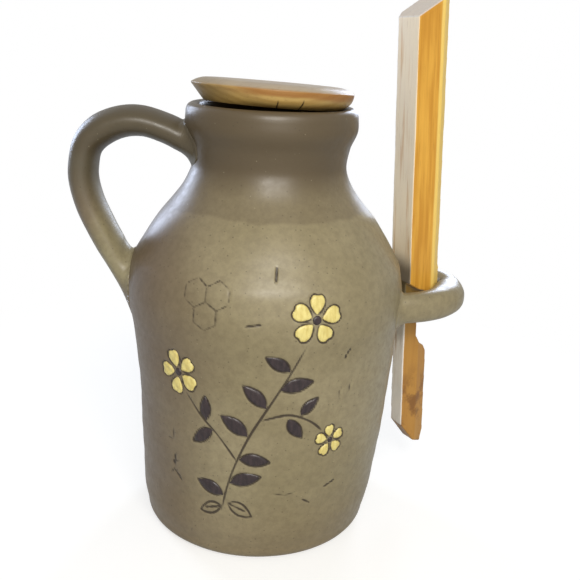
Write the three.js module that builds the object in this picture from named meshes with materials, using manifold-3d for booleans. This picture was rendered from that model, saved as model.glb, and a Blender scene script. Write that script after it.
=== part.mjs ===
// Stoneware honey jar with a loose wooden lid and a wooden spatula held in a side loop.
// Millimetres, +Z up. The origin is the centre of the flat foot, the strap handle is at -X,
// the loop for the spatula is at +X and the decorated front faces -Y.

import * as THREE from 'three';
import { mergeVertices } from 'three/addons/utils/BufferGeometryUtils.js';
import Module from 'manifold-3d';

const wasm = await Module();
wasm.setup();

// Driving dimensions

const rimHeight = 143.6;
const bellyRadius = 46.6;
const wallThickness = 4.6;
const floorThickness = 6;
const footRounding = 4.2;
const seatGap = 0.3;

const handleStandOff = 14.4;
const handleWidth = 17;
const handleThickness = 10;

const loopHeight = 80;
const loopTallness = 10.6;
const loopThickness = 7.8;
const loopSidePlay = 8.4;
const loopEndPlay = 0.6;
const loopTurn = THREE.MathUtils.degToRad(11.5);

const lidTopRadius = 26.2;
const lidBottomRadius = 22;
const lidThickness = 7;
const lidEdge = 1;
const lidPitch = THREE.MathUtils.degToRad(-1.9);
const lidRoll = THREE.MathUtils.degToRad(2.2);
const mouthPlay = 1.6;

const spatulaWidth = 14;
const spatulaThickness = 11.2;
const spatulaBackStep = 2.4;
const spatulaFrontStep = 2.4;
const bladeWidth = 11.8;
const bladeThickness = 6.5;
const neckWidth = 5.8;
const spatulaAbove = 87.5;
const spatulaBelow = 57;
const topSlant = 7.7;
const tipSlant = 9.8;
const notchTop = 10.6;
const notchHeight = 15.2;
const spatulaTurn = THREE.MathUtils.degToRad(28);
const spatulaLean = THREE.MathUtils.degToRad(3.2);
const spatulaBearing = THREE.MathUtils.degToRad(17.6);
const wallClearance = 0.6;

// Joining and cutting

function solidOf(geometry) {
  const bare = geometry.clone();
  bare.deleteAttribute('normal');
  bare.deleteAttribute('uv');
  const merged = mergeVertices(bare);
  return new wasm.Manifold(new wasm.Mesh({
    numProp: 3,
    vertProperties: new Float32Array(merged.attributes.position.array),
    triVerts: new Uint32Array(merged.index.array),
  }));
}

function geometryOf(solid) {
  const mesh = solid.getMesh();
  const geometry = new THREE.BufferGeometry();
  geometry.setAttribute('position', new THREE.BufferAttribute(mesh.vertProperties, 3));
  geometry.setIndex(new THREE.BufferAttribute(mesh.triVerts, 1));
  geometry.computeVertexNormals();
  return geometry;
}

function turned(profile, segments) {
  const geometry = new THREE.LatheGeometry(profile, segments);
  return geometry.rotateX(Math.PI / 2);
}

// Thrown body: one turned profile, hollow, open at the mouth. Radii are shares of the belly
// radius and heights are shares of the rim height, read from the foot up to the lip.

const outlineShares = [
  [0.846, 0.030], [0.878, 0.081], [0.888, 0.121], [0.897, 0.162], [0.909, 0.207],
  [0.920, 0.252], [0.935, 0.343], [0.956, 0.424], [0.966, 0.475], [0.982, 0.515],
  [0.997, 0.550], [1.000, 0.576], [0.993, 0.606], [0.968, 0.646], [0.929, 0.672],
  [0.882, 0.697], [0.782, 0.747], [0.675, 0.788], [0.589, 0.828], [0.545, 0.868],
  [0.557, 0.909], [0.602, 0.949], [0.601, 0.984],
];
const outlineSteps = 34;
const innerSteps = 22;
const roundSteps = 3;
const bodySegments = 52;

const mouthRadius = lidBottomRadius + mouthPlay;
const outline = new THREE.SplineCurve(outlineShares.map(
  ([radius, height]) => new THREE.Vector2(radius * bellyRadius, height * rimHeight)));

function outerProfile(grow) {
  const [baseShare] = outlineShares[0];
  const points = [new THREE.Vector2(0, -grow)];
  for (let i = 0; i < roundSteps; i += 1) {
    const turn = (i / roundSteps) * (Math.PI / 2);
    points.push(new THREE.Vector2(
      baseShare * bellyRadius - footRounding + (footRounding + grow) * Math.sin(turn),
      footRounding - (footRounding + grow) * Math.cos(turn)));
  }
  for (const point of outline.getSpacedPoints(outlineSteps)) {
    points.push(new THREE.Vector2(point.x + grow, point.y));
  }
  return points;
}

function innerProfile() {
  const points = [];
  const flareShare = 0.93;
  for (let i = innerSteps; i >= 0; i -= 1) {
    const share = (i / innerSteps) * flareShare;
    const point = outline.getPointAt(share);
    const tangent = outline.getTangentAt(share);
    const inner = new THREE.Vector2(
      point.x - tangent.y * wallThickness, point.y + tangent.x * wallThickness);
    if (inner.y > floorThickness + wallThickness) points.push(inner);
  }
  const lowest = points[points.length - 1];
  for (let i = 1; i <= roundSteps; i += 1) {
    const turn = (i / roundSteps) * (Math.PI / 2);
    points.push(new THREE.Vector2(
      lowest.x - wallThickness + wallThickness * Math.cos(turn),
      floorThickness + wallThickness - wallThickness * Math.sin(turn)));
  }
  points.push(new THREE.Vector2(0, floorThickness));
  return points;
}

const lipOuter = outline.getPointAt(1);
const lipRise = rimHeight - lipOuter.y;
const lipMiddle = mouthRadius + (lipOuter.x - mouthRadius) * 0.45;
const lipProfile = [
  new THREE.Vector2(lipOuter.x - (lipOuter.x - lipMiddle) * 0.2, lipOuter.y + lipRise * 0.55),
  new THREE.Vector2(lipOuter.x - (lipOuter.x - lipMiddle) * 0.6, lipOuter.y + lipRise * 0.9),
  new THREE.Vector2(lipMiddle, rimHeight),
  new THREE.Vector2(mouthRadius + (lipMiddle - mouthRadius) * 0.25, rimHeight - lipRise * 0.15),
  new THREE.Vector2(mouthRadius, rimHeight - lipRise * 0.5),
];
const bodyProfile = [...outerProfile(0), ...lipProfile, ...innerProfile()];
const body = turned(bodyProfile, bodySegments);

// What is luted to the wall is cut back to this envelope, the body grown by the seat gap.

const envelope = solidOf(turned(
  [...outerProfile(seatGap), new THREE.Vector2(lipMiddle, rimHeight + seatGap),
    new THREE.Vector2(0, rimHeight + seatGap)], bodySegments));

// A strap's section: a rounded oval, wide along the first axis of the sweep.

const ovalSides = 16;
const ovalSquareness = 0.8;

function oval(width, thickness) {
  const shape = new THREE.Shape();
  for (let i = 0; i < ovalSides; i += 1) {
    const turn = (i / ovalSides) * 2 * Math.PI;
    const x = Math.sign(Math.cos(turn)) * Math.abs(Math.cos(turn)) ** ovalSquareness;
    const y = Math.sign(Math.sin(turn)) * Math.abs(Math.sin(turn)) ** ovalSquareness;
    if (i === 0) shape.moveTo(x * width / 2, y * thickness / 2);
    else shape.lineTo(x * width / 2, y * thickness / 2);
  }
  shape.closePath();
  return shape;
}

function strap(points, width, thickness, steps) {
  return solidOf(new THREE.ExtrudeGeometry(oval(width, thickness), {
    extrudePath: new THREE.CatmullRomCurve3(points),
    steps,
    bevelEnabled: false,
  }));
}

// Strap handle: pulled clay, from the neck out and down to the shoulder. Each point is a share
// of the handle's reach from the axis, and a share of the rim height.

const handleShares = [
  [0.361, 0.902], [0.448, 0.916], [0.557, 0.937], [0.680, 0.951], [0.795, 0.945],
  [0.895, 0.921], [0.966, 0.889], [0.998, 0.848], [0.997, 0.808], [0.967, 0.759],
  [0.911, 0.707], [0.830, 0.641], [0.748, 0.568], [0.666, 0.488],
];
const handleReach = bellyRadius + handleStandOff;
const handlePoints = handleShares.map(([reach, height]) => new THREE.Vector3(
  -reach * handleReach, 0, height * rimHeight));

function rootPad(centre, reach, width, height) {
  const pad = new THREE.SphereGeometry(1, ovalSides, ovalSides / 2);
  pad.scale(reach, width, height);
  pad.rotateX(Math.PI / 2);
  return solidOf(pad.translate(centre.x, centre.y, centre.z));
}

const handle = strap(handlePoints, handleWidth, handleThickness, 36)
  .add(rootPad(handlePoints[1], handleThickness * 0.42, handleThickness * 0.62, handleWidth * 0.52))
  .subtract(envelope);

// Loop for the spatula: a flat-lying strap, luted to the belly at both ends and bowed out as a
// squared oval. Its hole is as deep and as wide as the turned spatula, with play round it.

const stickTurn = spatulaTurn - loopTurn;
const stickDeep = spatulaWidth * Math.cos(stickTurn) + spatulaThickness * Math.sin(stickTurn);
const stickWide = spatulaWidth * Math.sin(stickTurn) + spatulaThickness * Math.cos(stickTurn);
const loopReach = bellyRadius + stickDeep + loopEndPlay + loopThickness / 2;
const loopHalf = stickWide / 2 + loopSidePlay + loopThickness / 2;
const loopRootShare = 0.6;
const loopBuriedShare = 0.45;
const loopSquareness = 2.33;
const loopBends = 22;
const loopBow = [];
for (let i = 0; i <= loopBends; i += 1) {
  const across = Math.sin((i / loopBends - 0.5) * Math.PI);
  const out = Math.max(1 - Math.abs(across) ** loopSquareness, 0) ** (1 / loopSquareness);
  loopBow.push(new THREE.Vector3(
    loopReach * (loopRootShare + (1 - loopRootShare) * out), across * loopHalf, loopHeight));
}
const loopPoints = [
  new THREE.Vector3(loopReach * loopBuriedShare, -loopHalf, loopHeight),
  ...loopBow,
  new THREE.Vector3(loopReach * loopBuriedShare, loopHalf, loopHeight),
].map((point) => point.applyAxisAngle(new THREE.Vector3(0, 0, 1), loopTurn));

const loop = strap(loopPoints, loopTallness, loopThickness, 40).subtract(envelope);

// Lid: a bevelled wooden disc, loose in the mouth. It lies a little tipped, its bevel on the
// inner edge of the lip, as low as the lip lets it.

const lidBevel = lidTopRadius - lidBottomRadius;
const lidProfile = [
  new THREE.Vector2(0, -lidThickness),
  new THREE.Vector2(lidBottomRadius, -lidThickness),
  new THREE.Vector2(lidBottomRadius + lidBevel * 0.52, -lidThickness * 0.83),
  new THREE.Vector2(lidBottomRadius + lidBevel * 0.84, -lidThickness * 0.62),
  new THREE.Vector2(lidTopRadius, -lidThickness * 0.37),
  new THREE.Vector2(lidTopRadius, -lidEdge),
  new THREE.Vector2(lidTopRadius - lidEdge * 0.4, 0),
  new THREE.Vector2(0, 0),
];
const lidSegments = 48;
const lid = turned(lidProfile, lidSegments);

function lidHeight() {
  const tip = new THREE.Euler(lidPitch, lidRoll, 0, 'YXZ');
  const lidBearings = 72;
  const bevelSteps = 60;
  const bevel = new THREE.Path(lidProfile.slice(1, 5)).getSpacedPoints(bevelSteps);
  const lip = [outline.getPointAt(0.985), lipOuter, ...lipProfile];
  let height = -Infinity;
  for (const { x: radius, y: depth } of bevel) {
    for (let i = 0; i < lidBearings; i += 1) {
      const bearing = (i / lidBearings) * 2 * Math.PI;
      const point = new THREE.Vector3(
        radius * Math.cos(bearing), radius * Math.sin(bearing), depth).applyEuler(tip);
      const reach = Math.hypot(point.x, point.y);
      for (let j = 0; j + 1 < lip.length; j += 1) {
        const [a, b] = [lip[j], lip[j + 1]];
        const within = (reach - b.x) / (a.x - b.x);
        if (within < 0 || within > 1) continue;
        height = Math.max(height, b.y + within * (a.y - b.y) + seatGap - point.z);
      }
    }
  }
  return height;
}

// Spatula: one carved stick. Above the loop is the handle, with a bevelled front edge. Below
// its steps the thinner blade goes down through the loop, with a hook notch in its far edge.
// Local X runs across the front face, local Y into the wood, local Z up. Zero is the loop's top.

const spatulaSectionShares = [
  [0, 0], [0.76, 0], [1, 0.165], [1, 0.82], [0.82, 1], [0.22, 1], [0, 0.82],
];
const passSectionShares = [
  [0, 0], [0.76, 0], [1, 0.165], [0.96, 0.60], [0.75, 0.93], [0.25, 1], [0, 1],
];

function prism(shape, length) {
  return new THREE.ExtrudeGeometry(shape, { depth: length, bevelEnabled: false, steps: 1 });
}

function outlineOf(points) {
  return new THREE.Shape(points.map(([x, y]) => new THREE.Vector2(x, y)));
}

// A profile drawn over the front face, X across and Y up, cut through the wood from one depth
// to another.
function faceCut(points, from, to) {
  const geometry = prism(outlineOf(points), to - from);
  geometry.rotateX(Math.PI / 2);
  return solidOf(geometry.translate(0, to, 0));
}

const stickDepth = spatulaThickness + spatulaBackStep;
const overrun = stickDepth;
const stickTop = spatulaAbove + topSlant;

const handleStick = solidOf(prism(outlineOf(spatulaSectionShares.map(
  ([x, y]) => [x * spatulaWidth, y * stickDepth])), stickTop));
const stepDepth = loopTallness * 0.55;
const stepStick = solidOf(prism(outlineOf(passSectionShares.map(
  ([x, y]) => [x * spatulaWidth, y * spatulaThickness])), stepDepth * 2)
  .translate(0, 0, -stepDepth));
const stepEdge = faceCut([
  [-overrun, -stepDepth * 0.29], [0, -stepDepth * 0.29], [spatulaWidth * 0.31, -stepDepth * 0.74],
  [spatulaWidth * 0.58, -stepDepth * 0.98], [spatulaWidth * 0.73, -stepDepth],
  [spatulaWidth * 0.88, -stepDepth * 0.8], [spatulaWidth, -stepDepth * 0.66],
  [spatulaWidth + overrun, -stepDepth * 0.66],
  [spatulaWidth + overrun, stepDepth / 2], [-overrun, stepDepth / 2],
], -overrun, stickDepth + overrun);
const topCut = faceCut([
  [-overrun, spatulaAbove - topSlant * overrun / spatulaWidth],
  [spatulaWidth + overrun, spatulaAbove + topSlant * (1 + overrun / spatulaWidth)],
  [spatulaWidth + overrun, stickTop + overrun * 2], [-overrun, stickTop + overrun * 2],
], -overrun, stickDepth + overrun);

const notchDepth = bladeWidth - neckWidth;
const blade = faceCut([
  [0, -spatulaBelow], [bladeWidth * 0.5, -spatulaBelow - tipSlant * 0.82],
  [bladeWidth * 0.86, -spatulaBelow - tipSlant], [bladeWidth, -spatulaBelow - tipSlant * 0.55],
  [bladeWidth, -notchTop - notchHeight - notchDepth * 0.75],
  [bladeWidth - notchDepth * 0.25, -notchTop - notchHeight - notchDepth * 0.3],
  [neckWidth + notchDepth * 0.3, -notchTop - notchHeight],
  [neckWidth, -notchTop - notchHeight + notchDepth * 0.5], [neckWidth, -notchTop - notchDepth / 2],
  [neckWidth + notchDepth * 0.4, -notchTop], [bladeWidth, -notchTop + notchDepth * 0.3],
  [bladeWidth, stepDepth], [0, stepDepth],
], spatulaFrontStep, spatulaFrontStep + bladeThickness);
const bladeEdge = solidOf(prism(outlineOf([
  [0, 0], [bladeWidth * 0.57, 0], [bladeWidth, bladeThickness * 0.3], [bladeWidth, bladeThickness * 0.8],
  [bladeWidth * 0.85, bladeThickness], [0, bladeThickness],
]), spatulaBelow + tipSlant + overrun * 2)
  .translate(0, spatulaFrontStep, -spatulaBelow - tipSlant - overrun));

const spatula = handleStick.subtract(topCut)
  .add(stepStick.intersect(stepEdge))
  .add(blade.intersect(bladeEdge));

// Where the stick stands: its far left corner leans on the belly, just clear of the wall.

const cornerReach = bellyRadius + wallClearance;
const spatulaPlace = new THREE.Vector3(
  cornerReach * Math.cos(spatulaBearing) + spatulaThickness * Math.sin(spatulaTurn),
  cornerReach * Math.sin(spatulaBearing) - spatulaThickness * Math.cos(spatulaTurn),
  loopHeight + loopTallness / 2 + seatGap);

// Assembly

function piece(name, geometry, colour, roughness) {
  const material = new THREE.MeshStandardMaterial({ color: colour, roughness, metalness: 0 });
  const mesh = new THREE.Mesh(geometry, material);
  mesh.name = name;
  return mesh;
}

const jar = new THREE.Group();
jar.add(piece('jar_body', body, '#8c8468', 0.5));
jar.add(piece('handle', geometryOf(handle), '#6f6650', 0.5));
jar.add(piece('spatula_loop', geometryOf(loop), '#8f866c', 0.5));

const lidPiece = piece('lid', lid, '#b98a3c', 0.6);
lidPiece.rotation.set(lidPitch, lidRoll, 0, 'YXZ');
lidPiece.position.set(0, 0, lidHeight());
jar.add(lidPiece);

const spatulaPiece = piece('spatula', geometryOf(spatula), '#d9a24a', 0.55);
spatulaPiece.rotation.z = spatulaTurn;
const leaning = new THREE.Group();
leaning.rotation.y = -spatulaLean;
leaning.position.copy(spatulaPlace);
leaning.add(spatulaPiece);
jar.add(leaning);

export default jar;
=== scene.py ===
import math

import bmesh
import bpy
import numpy as np
from mathutils import Matrix, Vector
from mathutils.bvhtree import BVHTree
from mathutils.geometry import delaunay_2d_cdt
from mathutils.kdtree import KDTree


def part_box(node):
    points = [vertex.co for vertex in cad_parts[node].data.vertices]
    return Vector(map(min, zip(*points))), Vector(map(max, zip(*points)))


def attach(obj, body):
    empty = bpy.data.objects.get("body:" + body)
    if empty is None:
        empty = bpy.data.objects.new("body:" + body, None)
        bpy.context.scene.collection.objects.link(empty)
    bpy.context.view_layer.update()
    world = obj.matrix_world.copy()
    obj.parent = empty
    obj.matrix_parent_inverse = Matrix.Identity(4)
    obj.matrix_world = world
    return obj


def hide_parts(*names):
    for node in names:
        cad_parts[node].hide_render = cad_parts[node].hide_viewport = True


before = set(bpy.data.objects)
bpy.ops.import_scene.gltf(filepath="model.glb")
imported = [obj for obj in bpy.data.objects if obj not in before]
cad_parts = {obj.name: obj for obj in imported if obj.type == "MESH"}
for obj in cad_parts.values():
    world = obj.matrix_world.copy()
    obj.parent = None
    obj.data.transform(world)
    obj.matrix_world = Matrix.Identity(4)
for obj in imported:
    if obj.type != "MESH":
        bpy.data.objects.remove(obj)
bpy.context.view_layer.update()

# The studio: a pale table, four soft lamps and the camera. The camera stands a little above the
# rim, as someone at the table sees the jar. The table is matt and runs into a white backdrop.

mm = 0.001


def colour(hex_code):
    """An sRGB hex colour as linear red, green, blue and alpha."""
    shares = [int(hex_code[i:i + 2], 16) / 255 for i in (1, 3, 5)]
    return [s / 12.92 if s <= 0.04045 else ((s + 0.055) / 1.055) ** 2.4 for s in shares] + [1.0]


def add_node(tree, kind, settings=None, inputs=None):
    """Adds a node. An input takes a value, a socket, or a node, which feeds it from its output."""
    node = tree.nodes.new(kind)
    for name, value in (settings or {}).items():
        setattr(node, name, value)
    for name, value in (inputs or {}).items():
        if isinstance(value, bpy.types.Node):
            value = next(socket for socket in value.outputs if socket.enabled)
        if isinstance(value, bpy.types.NodeSocket):
            tree.links.new(value, node.inputs[name])
        else:
            node.inputs[name].default_value = value
    return node


def new_material(name):
    """A new material, and its node tree, which is still empty."""
    material = bpy.data.materials.new(name)
    material.use_nodes = True
    material.node_tree.nodes.clear()
    return material, material.node_tree


# Kinds of node and a setting that come up often. A map range's sockets 1 and 2 are where it
# starts and ends, and 3 and 4 what it gives there.
maths, vectors, ranged = "ShaderNodeMath", "ShaderNodeVectorMath", "ShaderNodeMapRange"
eased = {"interpolation_type": "SMOOTHSTEP"}

scene = bpy.context.scene
scene.view_settings.view_transform = "Standard"

camera_place = Vector((0, -266.1, 164.0)) * mm
camera_pan, camera_pitch, camera_roll = (math.radians(a) for a in (1.82, 17.22, 2.80))
forward = Vector((math.sin(camera_pan) * math.cos(camera_pitch),
                  math.cos(camera_pan) * math.cos(camera_pitch), -math.sin(camera_pitch)))
level = Vector((math.cos(camera_pan), -math.sin(camera_pan), 0))
upright = level.cross(forward)
camera = bpy.data.objects.new("camera", bpy.data.cameras.new("camera"))
camera.data.sensor_width = 36
camera.data.lens = 50.25
camera.data.clip_start = 5 * mm
camera.matrix_world = Matrix.Translation(camera_place) @ Matrix((
    math.cos(camera_roll) * level + math.sin(camera_roll) * upright,
    math.cos(camera_roll) * upright - math.sin(camera_roll) * level, -forward)).transposed().to_4x4()
scene.collection.objects.link(camera)
scene.camera = camera

for name, place, size, power, tint in (
        ("window_left", (-500, 500, 260), (190, 320), 2.0, "#d6e4ff"),
        ("window_back", (250, 600, 290), (190, 300), 1.8, "#dce8ff"),
        ("front_panel", (130, -730, 520), (560, 480), 4.6, "#fffaf2"),
        ("top_panel", (10, -540, 410), (110, 75), 0.75, "#fffdf8")):
    lamp = bpy.data.objects.new(name, bpy.data.lights.new(name, "AREA"))
    lamp.data.shape = "RECTANGLE"
    lamp.data.size, lamp.data.size_y = size[0] * mm, size[1] * mm
    lamp.data.energy = power
    lamp.data.color = colour(tint)[:3]
    lamp.location = Vector(place) * mm
    lamp.rotation_euler = (Vector((0, 0, 75 * mm)) - lamp.location).to_track_quat("-Z", "Y").to_euler()
    scene.collection.objects.link(lamp)

# The room is dim. The camera and glass see a white backdrop instead, and a sheen sees half of it.
scene.world = bpy.data.worlds.new("studio")
scene.world.use_nodes = True
tree = scene.world.node_tree
tree.nodes.clear()
room = add_node(tree, "ShaderNodeBackground", inputs={"Color": colour("#f6f5f2"), "Strength": 0.31})
backdrop = add_node(tree, "ShaderNodeBackground", inputs={"Color": colour("#ffffff"), "Strength": 1.0})
rays = add_node(tree, "ShaderNodeLightPath").outputs
direct = add_node(tree, maths, {"operation": "ADD", "use_clamp": True}, {
    0: rays["Is Camera Ray"], 1: rays["Is Transmission Ray"]})
seen = add_node(tree, maths, {"operation": "MULTIPLY_ADD", "use_clamp": True}, {
    0: rays["Is Glossy Ray"], 1: 0.5, 2: direct})
shown = add_node(tree, "ShaderNodeMixShader", inputs={0: seen, 1: room, 2: backdrop})
add_node(tree, "ShaderNodeOutputWorld", inputs={"Surface": shown})

# Matt pale board. To the camera it is lighter than the light makes it and fades to white 10 to
# 25 centimetres out, so that only the jar's shadow stays on it.
board, tree = new_material("pale_table")
matt = add_node(tree, "ShaderNodeBsdfDiffuse", inputs={"Color": colour("#c8c8c6")})
glow = add_node(tree, "ShaderNodeEmission", inputs={"Color": colour("#ffffff"), "Strength": 0.56})
lit = add_node(tree, "ShaderNodeAddShader", inputs={0: matt, 1: glow})
white = add_node(tree, "ShaderNodeEmission", inputs={"Color": colour("#ffffff"), "Strength": 1.0})
distance = add_node(tree, vectors, {"operation": "LENGTH"}, {
    0: add_node(tree, "ShaderNodeTexCoord").outputs["Object"]})
far = add_node(tree, ranged, eased, {0: distance, 1: 100 * mm, 2: 250 * mm})
spread = add_node(tree, "ShaderNodeMixShader", inputs={0: far, 1: lit, 2: white})
rays = add_node(tree, "ShaderNodeLightPath").outputs
seen = add_node(tree, maths, {"operation": "MULTIPLY_ADD", "use_clamp": True}, {
    0: rays["Is Glossy Ray"], 1: 0.3, 2: rays["Is Camera Ray"]})
shown = add_node(tree, "ShaderNodeMixShader", inputs={0: seen, 1: matt, 2: spread})
add_node(tree, "ShaderNodeOutputMaterial", inputs={"Surface": shown})
table = bpy.data.objects.new("table", bpy.data.meshes.new("table"))
table.data.from_pydata([(-3, -3, 0), (3, -3, 0), (3, 3, 0), (-3, 3, 0)], [], [(0, 1, 2, 3)])
table.data.materials.append(board)
scene.collection.objects.link(table)

# Jar body: stoneware thrown on a wheel, 144 mm to the rim, with a flat foot, a waisted neck and
# a thick rounded lip. The hands left faint rings and a slight drift off the axis. The jar was
# dipped in a satin ash glaze, and from the neck up in a second coat, which fired darker.

rim_height = 143.6 * mm
belly_radius = 46.6 * mm
wall = 4.6 * mm
floor_thickness = 6 * mm
foot_rounding = 4.2 * mm
mouth_radius = 23.6 * mm
marks_low, marks_high = 13 * mm, 104 * mm
# The wall's outline from the foot to the lip: radius and height as shares of the belly's radius
# and of the rim's height.
outline_shares = [
    (0.846, 0.030), (0.878, 0.081), (0.888, 0.121), (0.897, 0.162), (0.909, 0.207),
    (0.920, 0.252), (0.935, 0.343), (0.956, 0.424), (0.966, 0.475), (0.982, 0.515),
    (0.997, 0.550), (1.000, 0.576), (0.993, 0.606), (0.968, 0.646), (0.929, 0.672),
    (0.882, 0.697), (0.782, 0.747), (0.675, 0.788), (0.589, 0.828), (0.545, 0.868),
    (0.557, 0.909), (0.602, 0.949), (0.601, 0.984)]


def curve_through(points, steps):
    """A smooth line through points, with that many steps from each to the next."""
    p = np.array([points[0], *points, points[-1]], float)
    t = (np.arange(steps) / steps)[:, None]
    line = [0.5 * (2 * b + (c - a) * t + (2 * a - 5 * b + 4 * c - d) * t ** 2
                   + (3 * b - a - 3 * c + d) * t ** 3)
            for a, b, c, d in zip(p, p[1:], p[2:], p[3:])]
    return np.concatenate(line + [p[-2:-1]])


def spaced(line, spacing):
    """The same line with its points at about that spacing."""
    along = np.concatenate([[0], np.cumsum(np.linalg.norm(np.diff(line, axis=0), axis=1))])
    stops = np.linspace(0, along[-1], max(2, round(along[-1] / spacing) + 1))
    return np.stack([np.interp(stops, along, line[:, i]) for i in range(line.shape[1])], 1)


def quarter(centre, radius, start, end, steps):
    """Points on a quarter round, from one angle in degrees to another."""
    turn = np.radians(np.linspace(start, end, steps))
    return np.stack([centre[0] + radius * np.cos(turn), centre[1] + radius * np.sin(turn)], 1)


outline = curve_through([(r * belly_radius, h * rim_height) for r, h in outline_shares], 16)
foot_radius = outline[0, 0] - foot_rounding
lip_outer = outline[-1]
lip_rise = rim_height - lip_outer[1]
lip_middle = mouth_radius + (lip_outer[0] - mouth_radius) * 0.45
lip = curve_through([
    lip_outer, (lip_outer[0] - (lip_outer[0] - lip_middle) * 0.2, lip_outer[1] + lip_rise * 0.55),
    (lip_outer[0] - (lip_outer[0] - lip_middle) * 0.6, lip_outer[1] + lip_rise * 0.9),
    (lip_middle, rim_height),
    (mouth_radius + (lip_middle - mouth_radius) * 0.25, rim_height - lip_rise * 0.15),
    (mouth_radius, rim_height - lip_rise * 0.5)], 3)
tangent = np.gradient(outline, axis=0)
tangent /= np.linalg.norm(tangent, axis=1)[:, None]
inner = outline + np.stack([-tangent[:, 1], tangent[:, 0]], 1) * wall
inner = inner[(inner[:, 1] > floor_thickness + wall) & (outline[:, 1] < rim_height * 0.93)][::-1]
# The profile runs up the outside, over the lip and down the inside to the floor. Its rows stand
# closer where marks are pressed in.
marked = (outline[:, 1] > marks_low) & (outline[:, 1] < marks_high)
profile = np.concatenate([
    [(0, 0)], [(foot_radius * 0.5, 0)],
    quarter((foot_radius, foot_rounding), foot_rounding, -90, -10, 8),
    spaced(outline[outline[:, 1] <= marks_low], 1.1 * mm), spaced(outline[marked], 0.5 * mm),
    spaced(outline[outline[:, 1] >= marks_high], 1.1 * mm)[:-1],
    lip, spaced(inner, 3 * mm),
    quarter((inner[-1, 0] - wall, floor_thickness + wall), wall, 0, -90, 5)[1:],
    [(foot_radius * 0.4, floor_thickness), (0, floor_thickness)]])
heights = profile[:, 1]
# Off its axis by under a millimetre: out at the belly, back at the foot and the neck.
drift = (0.9 * np.exp(-((heights - 50 * mm) / (24 * mm)) ** 2)
         - 0.6 * np.exp(-((heights - 4 * mm) / (12 * mm)) ** 2)
         - 0.3 * np.exp(-((heights - 120 * mm) / (9 * mm)) ** 2)) * mm


def new_shape_tree(name, sockets):
    """A new node tree that makes a piece's shape, and the values that it is given."""
    tree = bpy.data.node_groups.new(name, "GeometryNodeTree")
    for label, kind in sockets:
        tree.interface.new_socket(label, in_out="INPUT", socket_type="NodeSocket" + kind)
    tree.interface.new_socket("Piece", in_out="OUTPUT", socket_type="NodeSocketGeometry")
    return tree, add_node(tree, "NodeGroupInput").outputs


def end_shape_tree(tree, grid, place, finish):
    """Puts a grid's points in place, joins those that meet, and gives the shape its material."""
    shaped = add_node(tree, "GeometryNodeSetPosition", inputs={
        "Geometry": grid.outputs["Mesh"], "Position": place})
    closed = add_node(tree, "GeometryNodeMergeByDistance", inputs={
        "Geometry": shaped, "Distance": 0.002 * mm})
    smooth = add_node(tree, "GeometryNodeSetShadeSmooth", inputs={"Geometry": closed})
    real = add_node(tree, "GeometryNodeRealizeInstances", inputs={"Geometry": smooth})
    finished = add_node(tree, "GeometryNodeSetMaterial", inputs={"Geometry": real, "Material": finish})
    add_node(tree, "NodeGroupOutput", inputs={0: finished})


# More settings and kinds of node that come up often.
sum_of, times, times_plus = {"operation": "ADD"}, {"operation": "MULTIPLY"}, {"operation": "MULTIPLY_ADD"}
scaled = {"operation": "SCALE"}
noise, split = "ShaderNodeTexNoise", "ShaderNodeSeparateXYZ"

# A profile turned round the upright axis. The columns stand closer at the front, and throwing
# rings and the hand's slight unevenness are sunk into the wall.
turned, given = new_shape_tree("turned_piece", (
    ("Profile", "Geometry"), ("Columns", "Int"), ("Front Crowding", "Float"), ("Ring Height", "Float"),
    ("Ring Depth", "Float"), ("Hand Size", "Float"), ("Hand Depth", "Float"), ("Finish", "Material")))
rows = add_node(turned, "GeometryNodeAttributeDomainSize", {"component": "MESH"}, {
    "Geometry": given["Profile"]}).outputs["Point Count"]
grid = add_node(turned, "GeometryNodeMeshGrid", inputs={
    "Size X": 1.0, "Size Y": 1.0, "Vertices Y": rows,
    "Vertices X": add_node(turned, maths, sum_of, {0: given["Columns"], 1: 1.0})})
row = add_node(turned, maths, {"operation": "FLOORED_MODULO"}, {
    0: add_node(turned, "GeometryNodeInputIndex"), 1: rows})
cell = add_node(turned, split, inputs={0: add_node(turned, "GeometryNodeInputPosition")})
whole = add_node(turned, maths, times_plus, {0: cell, 1: 2 * math.pi, 2: math.pi})
turn = add_node(turned, maths, times_plus, {
    0: add_node(turned, maths, {"operation": "SINE"}, {0: whole}), 1: given["Front Crowding"], 2: whole})
around = add_node(turned, "ShaderNodeCombineXYZ", inputs={
    "X": add_node(turned, maths, {"operation": "SINE"}, {0: turn}),
    "Y": add_node(turned, maths, {"operation": "COSINE"}, {0: turn})})
spot = add_node(turned, "GeometryNodeSampleIndex", {"data_type": "FLOAT_VECTOR", "domain": "POINT"}, {
    "Geometry": given["Profile"], "Value": add_node(turned, "GeometryNodeInputPosition"), "Index": row})
spot = add_node(turned, split, inputs={0: spot}).outputs
raised = add_node(turned, "ShaderNodeCombineXYZ", inputs={"X": spot["Y"], "Z": spot["Z"]})
even = add_node(turned, vectors, scaled, {0: around, "Scale": spot["X"]})
even = add_node(turned, vectors, sum_of, {0: even, 1: raised})
hand = add_node(turned, noise, inputs={
    "Vector": even, "Detail": 1.0,
    "Scale": add_node(turned, maths, {"operation": "DIVIDE"}, {0: 1.0, 1: given["Hand Size"]})})
ring = add_node(turned, maths, {"operation": "DIVIDE"}, {0: spot["Z"], 1: given["Ring Height"]})
ring = add_node(turned, maths, times_plus, {
    0: ring, 1: 2 * math.pi, 2: add_node(turned, maths, times, {0: hand, 1: 9.0})})
ring = add_node(turned, maths, sum_of, {0: add_node(turned, maths, {"operation": "SINE"}, {0: ring}), 1: 1.0})
sunk = add_node(turned, maths, times_plus, {
    0: ring, 1: given["Ring Depth"], 2: add_node(turned, maths, times, {0: hand, 1: given["Hand Depth"]})})
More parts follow.
